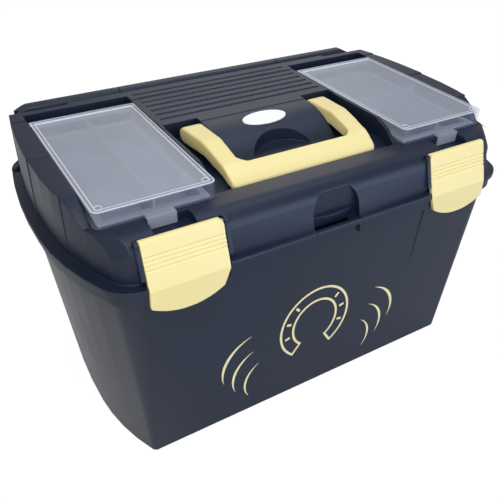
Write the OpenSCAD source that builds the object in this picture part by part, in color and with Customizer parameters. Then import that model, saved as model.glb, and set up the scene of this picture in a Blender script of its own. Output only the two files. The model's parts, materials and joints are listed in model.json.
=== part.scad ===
// Horse grooming box: a drafted tub with a hooded lid, a folding handle,
// two latches and two clear covers over wells in the lid.
// X runs to the right, Y to the back, Z up. The box stands on z = 0.

/* [Plan] */
// Length over the rim, end to end
box_length = 400; // [380:1:440]
// Depth over the rim, front to back
box_depth = 244; // [236:1:264]
// Bow radius of the two ends, seen from above
end_radius = 550; // [480:5:700]
// Bow radius towards the front corners
quarter_radius = 215; // [205:1:230]
// How far in front of the middle the front bow is centred
quarter_shift = 15; // [12:1:20]
// Corner radius of the rim
corner_radius = 28; // [24:1:34]

/* [Tub] */
// Height of the tub up to its rim
tub_height = 182; // [160:1:210]
// Wall of the tub
tub_wall = 2.6; // [2.2:0.1:3.2]
// Floor of the tub
tub_floor = 4.5; // [4:0.1:6]
// How far the wall stands in from the rim's edge, at the top
wall_inset = 6; // [5.5:0.1:7]
// How much further in the wall stands at the floor
wall_draft = 17; // [12:0.5:19]
// Height of the collar under the rim
collar_height = 9; // [7:0.5:12]
// How far the collar stands in from the lid's edge
collar_inset = 2.5; // [2:0.1:3.2]
// Chamfer along the foot
foot_chamfer = 3; // [2:0.5:4]
// How far in from the ends the floor lifts off the ground
foot_inset = 50; // [40:1:70]
// How far the floor rises past the foot
foot_lift = 2; // [1:0.1:2.5]

/* [Lid] */
// Wall of the lid
lid_wall = 3; // [2.6:0.1:3.4]
// Height of the bead along the lid's edge
bead_height = 4.7; // [4:0.1:6]
// How far the end walls stand in from the bead
end_inset = 7; // [6.5:0.1:8.5]
// How much further in the end walls stand at the crown
end_lean = 1; // [0.5:0.1:1.5]
// Small step of the end walls and top at each terrace
terrace_step = 0.55; // [0.4:0.05:0.8]
// How far the front foot of the hood stands in from the bead
front_inset = 4.5; // [4:0.1:5]
// Height above the rim where the front starts to slope
foot_rise = 9.5; // [9:0.1:11]
// How far the front slopes back up to its brow
front_lean = 6.2; // [5:0.1:7]
// Height of the brow above the rim
brow_rise = 30.8; // [29:0.1:32]
// Height of the front ledge above the rim
ledge_rise = 37.5; // [37:0.1:39]
// How far behind the brow the ledge starts
brow_run = 5.3; // [5:0.1:6]
// Radius of the round brow between the front slope and the ledge
brow_round = 16; // [12:0.5:18]
// Depth of the front ledge
ledge_run = 25.5; // [25:0.1:27]
// How much the ledge falls towards the back
ledge_fall = 1; // [0.5:0.1:1.2]
// Run of the slope from the ledge up to the crown
crown_run = 23.5; // [22:0.1:25]
// Bulge of that slope
crown_bulge = 1.2; // [0.6:0.1:1.6]
// Height of the crown's front end above the rim
crown_front_rise = 50.65; // [49:0.05:51]
// Height of the crown's rear end above the rim, before the terraces' steps
crown_rise = 54.35; // [53:0.05:55]
// Length of the level part of the crown
crown_flat = 31; // [25:1:35]
// Place of the middle terrace step, behind the handle's pivot line
terrace_behind = 6; // [3:0.5:9]
// Place of the rear terrace step, in front of the hood's rear edge
terrace_ahead = 18; // [15:0.5:21]
// Radius of the rounding over the front corners
corner_round = 60; // [56:1:70]
// How far that rounding stands in from the plan's square corner
corner_inset = 29; // [28:0.5:31]
// Height above the rim where that rounding starts
corner_start = 2; // [0:0.5:4]
// Distance of the first groove of the grip ribs behind the handle's recess
rib_gap = 11.3; // [9:0.1:14]
// Spacing of the grip ribs
rib_pitch = 10; // [8:0.5:10.5]
// Width of the grooves between the ribs
rib_groove = 3; // [2:0.5:4]
// Depth of those grooves
rib_depth = 1; // [0.6:0.1:1.4]

/* [Hinge] */
// Distance of the hinge line from the rear edge
hinge_inset = 16; // [15:0.5:17]
// Height of the hinge line below the crown
hinge_drop = 6; // [5:0.5:7]
// Side of the square hinge bar
bar_side = 13; // [12:0.5:13.5]
// Edge radius of the hinge bar
bar_edge = 4; // [3:0.5:5]
// Distance of the hinge bar's ends from the ends of the rim
bar_inset = 23.3; // [22:0.1:30]
// Length of the sloping top at each end of the bar
bar_slope_run = 11; // [6:0.5:14]
// Fall of that sloping top
bar_slope_fall = 6; // [4:0.5:8]
// Half length of the lid's own knuckle
knuckle_half = 84; // [70:0.5:95]
// Radius of the hinge rod
rod_radius = 2.5; // [2:0.1:3]
// Gap between the hinge bar and the lid
bar_gap = 8.5; // [8:0.1:9.5]
// How much the lid's middle fills that gap
tail_reach = 3.5; // [3:0.1:4]
// Distance of that middle part's ends from the ends of the rim
tail_inset = 65; // [60:1:80]
// Depth of the lid's hinge web below the hinge line
web_drop = 2.5; // [2:0.1:3]
// Thickness of the hinge wall and of the lid's hinge web
web = 3; // [2.6:0.1:3.5]

/* [Handle] */
// Width over the handle's arms at the pivots
handle_width = 141; // [136:1:146]
// Width of each arm at the pivots
arm_width = 18; // [16:0.5:20]
// How much the handle narrows on each side towards the front
handle_taper = 3.5; // [2:0.5:4]
// Distance of the front edge from the pivot line
handle_reach = 77.4; // [76:0.2:78]
// Depth of the cross bar
grip_depth = 16; // [14:0.5:18]
// Radius of the arm's rear end
arm_radius = 6.7; // [6:0.1:7]
// How far the cross bar hangs below the pivot line
grip_drop = 14.5; // [13.5:0.1:15]
// Thickness of the cross bar
grip_thick = 10; // [9:0.1:10.5]
// Length of the arms' level part in front of the pivots
arm_level = 32; // [28:1:36]
// Depth of the arms at the end of that part
arm_depth = 12; // [10:0.5:13]
// Run from there to the arms' knee
knee_run = 12.5; // [10:0.5:15]
// Fall of the arms' top at the knee
knee_fall = 3.2; // [2.5:0.1:4]
// Fall of the arms' top from the pivots to the cross bar
arm_fall = 7.9; // [7:0.1:9]
// Depth of the cross bar's brow behind its front edge
grip_brow = 4.9; // [4:0.1:6]
// Rise of that brow above the front edge
grip_brow_rise = 6.7; // [6:0.1:7.5]
// Depth of the cross bar's rounded front edge
nose = 3; // [2.5:0.1:3.5]
// Run of that edge's upper slope
nose_slope = 1.4; // [1:0.1:1.8]
// Drop of that edge's underside
nose_drop = 2; // [1.5:0.1:2.5]
// Corner radius of the handle's front, seen from above
nose_round = 5; // [3:0.5:7]
// Gusset in the inner corners of the handle
gusset = 6; // [4:0.5:8]
// Height of the pivot line below the crown's rear end
pivot_drop = 9; // [8.5:0.1:10]
// Distance of the pivot line from the front edge
pivot_back = 121; // [120:0.5:122]
// Radius of the handle pins
handle_pin = 3; // [2.5:0.1:3.5]
// Plastic left at the end of a pin's bore in the arm
pin_cap = 4; // [3:0.5:6]
// Length of a pin inside the block between the arms
pin_seat = 6; // [5:0.5:8]
// Room around the handle in its recess
handle_room = 1; // [0.8:0.1:1.4]
// Half width of the recess
recess_half = 82; // [80:0.5:84]
// Room in front of the handle for its swing
front_room = 3; // [2.5:0.1:3.5]
// Room behind the handle's arms
rear_room = 6; // [4:0.5:8]
// Room between the arms and the block that stands between them
island_room = 1; // [0.8:0.1:3]
// Bow radius of the block's top, which falls from the pivot line to the recess floor
island_bow = 60; // [56:1:64]
// Radius of the finger scoop in the block
scoop_radius = 32.5; // [28:0.5:34]
// Distance of the scoop's centre in front of the pivot line
scoop_ahead = 57; // [54:0.5:59]
// Place of the badge in front of the pivot line
badge_ahead = 10; // [8:0.2:12]
// Length of the oval badge
badge_length = 41; // [30:1:46]
// Width of the oval badge
badge_width = 18; // [14:1:20]
// Thickness of the oval badge
badge_thick = 1.4; // [1:0.1:2]

/* [Covers] */
// Margin between a cover and the end of the rim
cover_margin = 26; // [25:0.5:28]
// Web between a cover and the handle's recess
cover_web = 3.5; // [3:0.1:4]
// Distance of the cover's pivot line from the hood's rear edge
cover_pivot_inset = 25.5; // [23:0.5:31]
// Height of the cover's pivot line below the crown
cover_pivot_drop = 3.4; // [3.2:0.1:4]
// Tilt of the cover towards the front, in degrees
cover_tilt = 2.1; // [1.8:0.1:2.3]
// Wall of the cover
cover_wall = 2; // [1.6:0.1:2.4]
// How far the cover reaches over the front ledge
cover_reach = 8; // [6:0.5:10]
// Width of the raised edge on the cover
cover_edge = 4.2; // [3:0.1:5]
// How far the cover's field lies below that edge
cover_recess = 0.9; // [0.6:0.1:1]
// Radius of the cover's front corners
cover_corner = 5; // [4.5:0.5:7]
// Height of the cover's skirt
cover_skirt = 13; // [11:0.5:14]
// Radius of the cover pins
cover_pin = 1.5; // [1.2:0.1:1.6]
// Radius of the barrel along the cover's rear edge
cover_barrel = 3.2; // [3:0.1:3.4]
// Room around the cover in its pocket
cover_room = 0.6; // [0.4:0.1:0.8]
// Width of the snap tongue
tongue_width = 21; // [16:0.5:26]
// How far the tongue reaches in front of the cover
tongue_reach = 6.5; // [5:0.1:7]
// How far the tongue hooks down below the skirt
tongue_hook = 6; // [5:0.5:7]
// Room beside the tongue, on its inner side
tongue_gap = 9; // [4:0.5:10]
// Height of the tongue above the skirt's lower edge
tongue_lift = 1; // [0.8:0.1:1.5]
// Length of the trough behind the cover
trough_run = 18; // [14:0.5:19]
// Depth of that trough below the pivot line
trough_depth = 4; // [3.8:0.1:6]
// Width of the seat between the cover's skirt and the well
well_seat = 5; // [4:0.5:6]
// Depth of the compartment insert below that seat
well_depth = 14; // [8:0.5:16]
// Thickness of the insert's walls and partition
insert_wall = 1.6; // [1.2:0.1:2]
// Room around the insert in its well
insert_room = 0.4; // [0.3:0.1:0.6]
// Width of the insert's flange on the seat
insert_flange = 3.5; // [3:0.1:4]

/* [Latches] */
// Width of a latch
latch_width = 60; // [54:1:62]
// How far the latch sits inwards from the middle of its cover
latch_shift = 6; // [4:0.5:8]
// Thickness of the latch
latch_thick = 3.5; // [3.2:0.1:3.8]
// How far the latch stands proud of the front slope
latch_proud = 2; // [1.6:0.1:2.2]
// Radius of the barrel at the latch's top
latch_barrel = 3.2; // [3:0.1:3.4]
// Radius of the latch pins
latch_pin = 1.5; // [1.2:0.1:1.6]
// Length of the latch below the rim
latch_drop = 12; // [10:0.5:14]
// Length of the finger lip below that
lip_drop = 8; // [6:0.5:9]
// How far the finger lip stands in from the latch's inner side
lip_side = 5; // [4:0.5:8]
// Height of the chamfer on the latch's inner lower corner
lip_chamfer = 12.5; // [8:0.5:16]
// Radius of the latch's inner upper corner
latch_corner = 5; // [3:0.5:6]
// Where the plate turns down, above the rim
bend_rise = 2; // [1.5:0.1:2.5]
// How far the barrel sits above the brow
barrel_up = 2; // [1.5:0.1:2.5]
// Number of finger grooves
grip_count = 4; // [3:1:5]
// Spacing of the finger grooves
grip_pitch = 3; // [2.4:0.1:3.4]
// Height of the first finger groove above the plate's foot
grip_start = 6; // [4:0.5:7]
// Radius of the finger grooves
grip_radius = 0.7; // [0.4:0.1:0.8]
// Room around the latch
latch_room = 0.6; // [0.5:0.1:0.8]
// Width of the lid's cheeks beside a latch
cheek_width = 3; // [2:0.1:4]
// How far the cheeks stand proud of the front slope
cheek_proud = 1.7; // [1:0.1:2]
// Thickness of the tub's pad behind a latch, at its top
pad_thick = 1.2; // [0.8:0.1:1.6]
// How far down that pad runs out into the wall
pad_drop = 90; // [50:5:120]

/* [Thumb notch] */
// Half width of the thumb notch
thumb_half = 21; // [18:0.5:24]
// Depth of the thumb notch into the hood
thumb_depth = 12; // [11:0.5:13]
// Height of the thumb notch above the rim
thumb_rise = 35; // [33:0.5:36]

/* [Tray] */
// Distance of the tray's top below the rim
tray_drop = 14; // [12:1:40]
// Height of the tray
tray_height = 50; // [40:1:52]
// Wall of the tray
tray_wall = 2; // [1.6:0.1:2.4]
// Room between the tray and the tub
tray_room = 1.5; // [1:0.1:2]
// Place of the tray's divider, behind the middle
hold_y = 5; // [0:1:12]
// Height of the hand hold below the divider's top
hold_height = 18; // [15:1:20]
// Height of the hand hold's slot
hold_slot = 14; // [12:0.5:18]
// Half length of the hand hold
hold_half = 35; // [28:1:45]
// Half width of the ledges
ledge_half = 30; // [20:1:40]
// Thickness of the ledges
ledge_thick = 6; // [4:0.5:8]
// Reach of the ledges under the tray
ledge_reach = 9; // [8:0.5:12]

/* [Fits] */
// Gap between the lid and the tub
lid_gap = 0.3; // [0.2:0.05:0.5]
// Radial play of a pin in its bore
pin_play = 0.05; // [0.03:0.01:0.08]
// Play of the badge in its seat
badge_play = 0.15; // [0.1:0.05:0.3]
// Gap between the ends of neighbouring knuckles
side_play = 0.5; // [0.3:0.1:0.8]

/* [Hidden] */
$fn = 48;
navy = "#2B3040";
cream = "#F6E7AE";
far = 300;
cut = 1;
overlap = 0.01;
least_corner = 2;

front_y = -box_depth / 2;
foot_half = box_length / 2 - foot_inset;
lid_base = tub_height + lid_gap;
crown_z = tub_height + crown_rise + 3 * terrace_step;
ledge_z = tub_height + ledge_rise;
hinge_y = box_depth / 2 - hinge_inset;
hinge_z = crown_z - hinge_drop;
bar_half = box_length / 2 - bar_inset;
tail_half = box_length / 2 - tail_inset;
rear_y = hinge_y - bar_side / 2 - bar_gap;
tail_y = rear_y + tail_reach;
deck_y = hinge_y - bar_side / 2 - side_play;
bar_sweep = (bar_side / 2 - bar_edge) * sqrt(2) + bar_edge + side_play;
brow_y = front_y + front_inset + front_lean;
ledge_y = brow_y + brow_run;
ledge_back_y = ledge_y + ledge_run;
crown_y = ledge_back_y + crown_run;
flat_y = rear_y - crown_flat;
crown_fall = crown_rise - crown_front_rise;
crown_angle = atan(crown_fall / (flat_y - crown_y));
corner_reach = (box_length + box_depth) / 2 * cos(45) - corner_inset - corner_round;

pivot_y = front_y + pivot_back;
pivot_z = crown_z - pivot_drop;
handle_front = pivot_y - handle_reach;
grip_y = handle_front + grip_depth;
level_y = pivot_y - arm_level;
arm_top = pivot_z + arm_radius;
nose_z = pivot_z - grip_drop;
grip_top = arm_top - arm_fall;
recess_back = pivot_y + arm_radius + rear_room;
terrace_mid = pivot_y + terrace_behind;
terrace_back = rear_y - terrace_ahead;
rib_start = recess_back + rib_gap;
rib_count = floor((rear_y - rib_start - rib_groove) / rib_pitch) + 1;
badge_y = pivot_y - badge_ahead;
pin_end = handle_width / 2 - pin_cap;
island_half = handle_width / 2 - arm_width - island_room;

cover_in = recess_half + cover_web;
cover_out = box_length / 2 - cover_margin;
cover_mid = (cover_in + cover_out) / 2;
cover_pivot_y = rear_y - cover_pivot_inset;
cover_z = crown_z - cover_pivot_drop;
cover_length = cover_pivot_y - ledge_back_y + cover_reach;
cover_low = cover_barrel - cover_skirt;
well_in = cover_in + cover_wall + well_seat;
well_out = cover_out - cover_wall - well_seat;
well_front = -cover_length + cover_wall + well_seat;
well_back = -cover_barrel - well_seat;

latch_in = cover_mid - latch_shift - latch_width / 2;
latch_out = latch_in + latch_width;
slope_rise = brow_rise - foot_rise;
slope_up = [front_lean, slope_rise] / norm([front_lean, slope_rise]);
slope_out = [-slope_up[1], slope_up[0]];
slope_low = [front_y + front_inset, tub_height + foot_rise];
slope_top = [brow_y, tub_height + brow_rise];
brow_tip = slope_low + slope_up * (ledge_z - slope_low[1]) / slope_up[1];
ledge_line = [ledge_back_y, ledge_z - ledge_fall] - brow_tip;
ledge_out = [-ledge_line[1], ledge_line[0]] / norm(ledge_line);
brow_touch = brow_round * tan(acos(slope_out * ledge_out) / 2);
brow_centre = brow_tip - brow_touch * slope_up - brow_round * slope_out;
brow_steps = 12;
plate_low = slope_low + (latch_proud - latch_thick) * slope_out;
plate_top = slope_top + (latch_proud - latch_thick) * slope_out;
bend_z = tub_height + bend_rise;
plate_foot = plate_low + latch_thick * slope_out;
bend = [plate_foot[0] - (plate_foot[1] - bend_z) * slope_up[0] / slope_up[1], bend_z];
lip_y = bend[0] + latch_thick;
latch_low = tub_height - latch_drop;
ledge_height = tub_height - tray_drop - tray_height;
latch_pivot = slope_top + (latch_proud - latch_barrel) * slope_out + barrel_up * slope_up;

// Points of an arc round a centre; skip leaves out the first points
function arc(c, r, a0, a1, n, skip = 0) =
    [for (i = [skip:n]) c + r * [cos(a0 + (a1 - a0) * i / n), sin(a0 + (a1 - a0) * i / n)]];

// Right half of the plan, drawn in by d from the rim: four tangent arcs
function half_plan(d) =
    let (
        rho = max(corner_radius - d, least_corner),
        y0 = box_depth / 2 - d - rho,
        c_end = [box_length / 2 - end_radius, 0],
        a_quarter = -asin(quarter_shift / (end_radius - quarter_radius)),
        c_quarter = c_end + (end_radius - quarter_radius) * [cos(a_quarter), sin(a_quarter)],
        dy = -y0 - c_quarter[1],
        c_front = [c_quarter[0] + sqrt(pow(quarter_radius - d - rho, 2) - dy * dy), -y0],
        a_front = atan2(dy, c_front[0] - c_quarter[0]),
        c_rear = [c_end[0] + sqrt(pow(end_radius - d - rho, 2) - y0 * y0), y0],
        a_rear = atan2(y0, c_rear[0] - c_end[0])
    )
    concat(
        arc(c_front, rho, -90, a_front, 7),
        arc(c_quarter, quarter_radius - d, a_front, a_quarter, 4, 1),
        arc(c_end, end_radius - d, a_quarter, a_rear, 4, 1),
        arc(c_rear, rho, a_rear, 90, 7, 1)
    );

function plan(d) =
    let (h = half_plan(d))
    concat(h, [for (i = [len(h) - 1:-1:0]) [-h[i][0], h[i][1]]]);

// Inset of the tub's outer wall at height z
function wall_at(z) = wall_inset + wall_draft * (1 - z / tub_height);

// Height of the crown's straight fall at a place y, without and with the terraces
function crown_base(y) =
    tub_height + crown_rise - crown_fall * (flat_y - min(y, flat_y)) / (flat_y - crown_y);
function terrace(y) = y < crown_y ? 0 : y < terrace_mid ? 1 : y < terrace_back ? 2 : 3;
function crown_at(y) = crown_base(y) + terrace(y) * terrace_step;

// Solid through plan outlines, each level given as [height, inset]
module loft(levels) {
    rings = [for (l = levels) [for (p = plan(l[1])) [p[0], p[1], l[0]]]];
    n = len(rings[0]);
    top = (len(levels) - 1) * n;
    polyhedron(
        points = [for (r = rings) each r],
        faces = concat(
            [[for (i = [0:n - 1]) i]],
            [[for (i = [n - 1:-1:0]) top + i]],
            [for (k = [0:len(levels) - 2], i = [0:n - 1])
                [k * n + i, (k + 1) * n + i, (k + 1) * n + (i + 1) % n, k * n + (i + 1) % n]]
        )
    );
}

module along_x(x0, x1) {
    translate([x0, 0, 0]) rotate([90, 0, 90]) linear_extrude(x1 - x0) children();
}

module along_y(y0, y1) {
    translate([0, y1, 0]) rotate([90, 0, 0]) linear_extrude(y1 - y0) children();
}

module block(low, high) {
    translate(low) cube(high - low);
}

module both_sides() {
    children();
    mirror([1, 0, 0]) children();
}

// Round rod along X
module rod_x(x0, x1, y, z, r) {
    translate([x0, y, z]) rotate([0, 90, 0]) cylinder(r = r, h = x1 - x0);
}

// Square bar with round edges, along X on the hinge line
module hinge_bar(x0, x1) {
    s = bar_side / 2;
    c = s - bar_edge;
    along_x(x0, x1) translate([hinge_y, hinge_z]) {
        square([2 * c, 2 * s], center = true);
        square([2 * s, 2 * c], center = true);
        for (i = [-1, 1], j = [-1, 1]) translate([i * c, j * c]) circle(bar_edge);
    }
}

module tub() color(navy) {
    difference() {
        union() {
            loft([[0, wall_at(0) + foot_chamfer], [foot_chamfer, wall_at(foot_chamfer)],
                [tub_height, wall_at(tub_height)]]);
            translate([0, 0, tub_height - collar_height])
                linear_extrude(collar_height) polygon(plan(collar_inset));
            both_sides() latch_pad();
        }
        loft([[tub_floor, wall_at(tub_floor) + tub_wall],
            [tub_height + cut, wall_at(tub_height + cut) + tub_wall]]);
        both_sides() {
            block([foot_half, -far, -cut], [far, far, foot_lift]);
            block([latch_in - latch_room, front_y - cut, -cut],
                [latch_out + latch_room, lip_y + latch_room, tub_height + cut]);
        }
        block([-thumb_half, front_y - cut, 0],
            [thumb_half, front_y + wall_inset - collar_inset / 5, tub_height + cut]);
    }
    both_sides() tray_ledge();
    hinge_wall();
}

// Pad on the front wall behind a latch, running out downwards
module latch_pad() {
    low = tub_height - pad_drop;
    along_x(latch_in, latch_out) polygon([
        [front_y + wall_at(low), low], [front_y + wall_at(tub_height) - pad_thick, tub_height],
        [front_y + wall_at(tub_height) + tub_wall / 2, tub_height]
    ]);
}

// Ledge inside an end wall that carries the tray
module tray_ledge() {
    x = box_length / 2 - wall_at(ledge_height) - tub_wall;
    block([x - ledge_reach, -ledge_half, ledge_height - ledge_thick],
        [x + tub_wall / 2, ledge_half, ledge_height]);
}

// Deck and wall at the back that carry the tub's two hinge knuckles
module hinge_wall() {
    back = hinge_y + bar_side / 2;
    intersection() {
        translate([0, 0, tub_height - web]) difference() {
            linear_extrude(web + lid_gap + bead_height) polygon(plan(0));
            translate([0, 0, web]) linear_extrude(far) polygon(plan(collar_inset + web));
        }
        block([-far, deck_y, 0], [far, far, far]);
    }
    difference() {
        union() {
            block([-bar_half, back - web, tub_height - web], [bar_half, back, hinge_z - bar_sweep]);
            both_sides() {
                block([bar_half - web, deck_y, tub_height - web], [bar_half, back, hinge_z]);
                block([knuckle_half + side_play, back - web, tub_height], [bar_half, back, hinge_z]);
                hinge_bar(knuckle_half + side_play, bar_half);
            }
        }
        rod_x(-far, far, hinge_y, hinge_z, rod_radius + pin_play);
        both_sides() along_y(0, far) polygon([[bar_half - bar_slope_run, hinge_z + bar_side / 2],
            [bar_half + cut, hinge_z + bar_side / 2 - bar_slope_fall], [bar_half + cut, far],
            [bar_half - bar_slope_run, far]]);
    }
}

module hinge_rod() color("silver") {
    rod_x(-bar_half + web, bar_half - web, hinge_y, hinge_z, rod_radius);
}

// Tray on the ledges, with a divider that rises to a hand hold
module lift_out_tray() color(navy) {
    top = ledge_height + tray_height;
    back = deck_y - side_play - tray_room;
    difference() {
        intersection() {
            loft([[ledge_height, wall_at(ledge_height) + tub_wall + tray_room],
                [top, wall_at(top) + tub_wall + tray_room]]);
            block([-far, -far, 0], [far, back, far]);
        }
        difference() {
            intersection() {
                loft([[ledge_height + tray_wall, wall_at(ledge_height) + tub_wall + tray_room + tray_wall],
                    [top + cut, wall_at(top) + tub_wall + tray_room + tray_wall]]);
                block([-far, -far, 0], [far, back - tray_wall, far]);
            }
            block([-far, hold_y - tray_wall, 0], [far, hold_y + tray_wall, far]);
            block([-tray_wall / 2, -far, 0], [tray_wall / 2, hold_y, top - hold_height - hold_slot]);
        }
        along_y(hold_y - 2 * tray_wall, hold_y + 2 * tray_wall)
            hand_hold(top - hold_height);
    }
}

// Slot with round ends for the fingers
module hand_hold(z) {
    translate([-hold_half, z - hold_slot / 2]) square([2 * hold_half, hold_slot]);
    for (x = [-hold_half, hold_half]) translate([x, z]) circle(hold_slot / 2);
}

// Side profile of the hood: front slope, round brow, ledge, slope to the crown, crown
hood_side = [
    [front_y + front_inset, lid_base],
    [front_y + front_inset, tub_height + foot_rise],
    each arc(brow_centre, brow_round, atan2(slope_out[1], slope_out[0]),
        atan2(ledge_out[1], ledge_out[0]), brow_steps),
    [ledge_back_y, ledge_z - ledge_fall],
    [(ledge_back_y + crown_y) / 2 - crown_bulge, (ledge_z + crown_base(crown_y)) / 2 + crown_bulge],
    [crown_y, crown_base(crown_y)],
    [flat_y, crown_base(flat_y)],
    [box_depth / 2, crown_base(flat_y)],
    [box_depth / 2, lid_base]
];

// Round cut over the front corners, moved inwards by g
module corner_cut(g) {
    both_sides() rotate([0, 0, -45]) along_y(-far, far)
        translate([corner_reach, tub_height + corner_start]) difference() {
            square(far);
            circle(corner_round - g, $fn = 96);
        }
}

// Solid hood in four terraces, each stepping out and up towards the back
module hood() {
    bounds = [-far, crown_y, terrace_mid, terrace_back, far];
    difference() {
        for (i = [0:3]) intersection() {
            loft([[lid_base, end_inset + (3 - i) * terrace_step],
                [crown_z + cut, end_inset + end_lean + (3 - i) * terrace_step]]);
            translate([0, 0, i * terrace_step]) along_x(-far, far) polygon(hood_side);
            block([-far, bounds[i] - overlap, lid_base], [far, min(bounds[i + 1], tail_y), far]);
        }
        corner_cut(0);
        both_sides() block([tail_half, rear_y, 0], [far, far, far]);
    }
}

// Open inside of the hood
module hood_inside() {
    inner = end_inset + 3 * terrace_step + lid_wall;
    difference() {
        intersection() {
            loft([[lid_base - cut, inner], [crown_z, inner + end_lean]]);
            translate([0, lid_wall, -lid_wall]) along_x(-far, far) polygon(hood_side);
            block([-far, -far, 0], [far, rear_y - lid_wall, far]);
        }
        corner_cut(lid_wall);
    }
}

// The hollows of the lid below are drawn larger by g on every side but the top;
// at lid_wall they give the walls, and at zero the hollows themselves

module handle_space(g) {
    low = handle_room + g;
    front = handle_front - front_room - g;
    along_x(-recess_half - g, recess_half + g) polygon([
        [recess_back + g, far],
        [recess_back + g, pivot_z - arm_radius - low],
        [pivot_y, pivot_z - arm_radius - low],
        [level_y, grip_top - grip_thick - low],
        [grip_y, grip_top - grip_thick - low],
        [handle_front + nose, nose_z - nose_drop - low],
        [front, nose_z - nose_drop - low],
        [front, far]
    ]);
}

// Centre of the bow of the block's top, which leaves the crown at the pivot line
bow = [pivot_y, crown_at(pivot_y)] + island_bow * [sin(crown_angle), -cos(crown_angle)];

// Side profile of the block between the handle's arms, drawn in by g from its top
module island_side(g) {
    translate(bow) circle(island_bow - g, $fn = 96);
    translate([bow[0], 0]) square([far, crown_at(pivot_y) - g]);
}

module island() {
    along_x(-island_half, island_half) {
        island_side(0);
        translate([pivot_y, 0]) square([far, far]);
    }
}

module scoop(g) {
    translate([0, pivot_y - scoop_ahead, 0]) cylinder(r = scoop_radius + g, h = far, $fn = 96);
}

module thumb_space(g) {
    half = thumb_half + g;
    along_y(front_y - cut, front_y + thumb_depth + g) {
        translate([0, tub_height + thumb_rise - thumb_half]) circle(half);
        translate([-half, lid_base + lid_wall - g])
            square([2 * half, thumb_rise - thumb_half - lid_wall - lid_gap + g]);
    }
    block([-half, front_y - cut, lid_base - cut], [half, front_y + front_inset, lid_base + bead_height]);
}

module cover_frame() {
    translate([0, cover_pivot_y, cover_z]) rotate([cover_tilt, 0, 0]) children();
}

module cover_space(g) {
    room = cover_room + g;
    half = tongue_width / 2;
    cover_frame() {
        block([cover_in - room, -cover_length - cover_room, cover_low - room],
            [cover_out + room, cover_barrel + room, far]);
        block([cover_in - room, 0, -trough_depth - g], [cover_out + room, trough_run + g, far]);
        block([cover_mid - half - tongue_gap - g, latch_pivot[0] - cover_pivot_y - g,
            cover_low - tongue_hook - room],
            [cover_mid + half + room, -cover_length - tongue_reach + cover_wall + room, far]);
    }
}

// Hole in the pocket's floor that an insert hangs in
module well_hole() {
    cover_frame() block([well_in, well_front, -far], [well_out, well_back, far]);
}

module latch_space(g) {
    k = latch_room + g;
    along_x(latch_in - k, latch_out + k) {
        polygon([
            [front_y - cut, lid_base - cut], [lip_y + k, lid_base - cut], [lip_y + k, bend[1]],
            plate_low - k * slope_out, plate_top - k * slope_out, latch_pivot,
            latch_pivot + [0, far], [front_y - cut, far]
        ]);
        translate(latch_pivot) circle(latch_barrel + k);
    }
}

// Raised cheeks of the lid on both sides of a latch, round about its pin
module cheeks() {
    inner = latch_in - latch_room - cheek_width;
    along_x(inner, inner + latch_width + 2 * (latch_room + cheek_width)) {
        polygon([
            slope_low, slope_low + cheek_proud * slope_out, slope_top + cheek_proud * slope_out,
            latch_pivot, brow_centre
        ]);
        translate(latch_pivot) circle(latch_barrel);
    }
}

module lid() color(navy) {
    difference() {
        union() {
            intersection() {
                translate([0, 0, lid_base]) linear_extrude(bead_height) polygon(plan(0));
                block([-far, -far, 0], [far, rear_y, far]);
            }
            hood();
            both_sides() cheeks();
        }
        difference() {
            hood_inside();
            handle_space(lid_wall);
            thumb_space(lid_wall);
            both_sides() {
                cover_space(lid_wall);
                latch_space(lid_wall);
            }
        }
        difference() {
            handle_space(0);
            difference() {
                island();
                scoop(0);
            }
        }
        island_hollow();
        thumb_space(0);
        rib_grooves();
        badge_frame() translate([0, 0, -badge_thick / 2]) linear_extrude(far) oval(badge_play);
        both_sides() {
            cover_space(0);
            well_hole();
            latch_space(0);
            rod_x(cover_in - cover_room - lid_wall, cover_out + cover_room + lid_wall,
                cover_pivot_y, cover_z, cover_pin + pin_play);
            rod_x(latch_in - latch_room - lid_wall, latch_out + latch_room + lid_wall,
                latch_pivot[0], latch_pivot[1], latch_pin + pin_play);
            rod_x(island_half - pin_seat, pin_end, pivot_y, pivot_z, handle_pin + pin_play);
        }
    }
    difference() {
        union() {
            hinge_bar(-knuckle_half, knuckle_half);
            block([-knuckle_half, tail_y - lid_wall, hinge_z - web_drop - web],
                [knuckle_half, hinge_y, hinge_z - web_drop]);
        }
        rod_x(-far, far, hinge_y, hinge_z, rod_radius + pin_play);
    }
}

// Hollow under the block between the arms
module island_hollow() {
    half = island_half - pin_seat - lid_wall;
    difference() {
        intersection() {
            block([-half, -far, 0], [half, recess_back, far]);
            along_x(-half, half) island_side(lid_wall);
        }
        scoop(lid_wall);
    }
}

// Grooves between the grip ribs on the crown
module rib_grooves() {
    half = recess_half - lid_wall;
    for (i = [0:rib_count - 1]) {
        y = rib_start + i * rib_pitch;
        block([-half, y - rib_groove / 2, crown_at(y) - rib_depth], [half, y + rib_groove / 2, far]);
    }
}

module badge_frame() {
    lean = asin((bow[0] - badge_y) / island_bow);
    translate([0, badge_y, bow[1] + island_bow * cos(lean)]) rotate([lean, 0, 0]) children();
}

module oval(g) {
    polygon([for (i = [0:7.5:352.5]) [(badge_length / 2 + g) * cos(i), (badge_width / 2 + g) * sin(i)]]);
}

module oval_badge() color("white") {
    badge_frame() translate([0, 0, -badge_thick / 2]) linear_extrude(badge_thick) oval(0);
}

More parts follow.
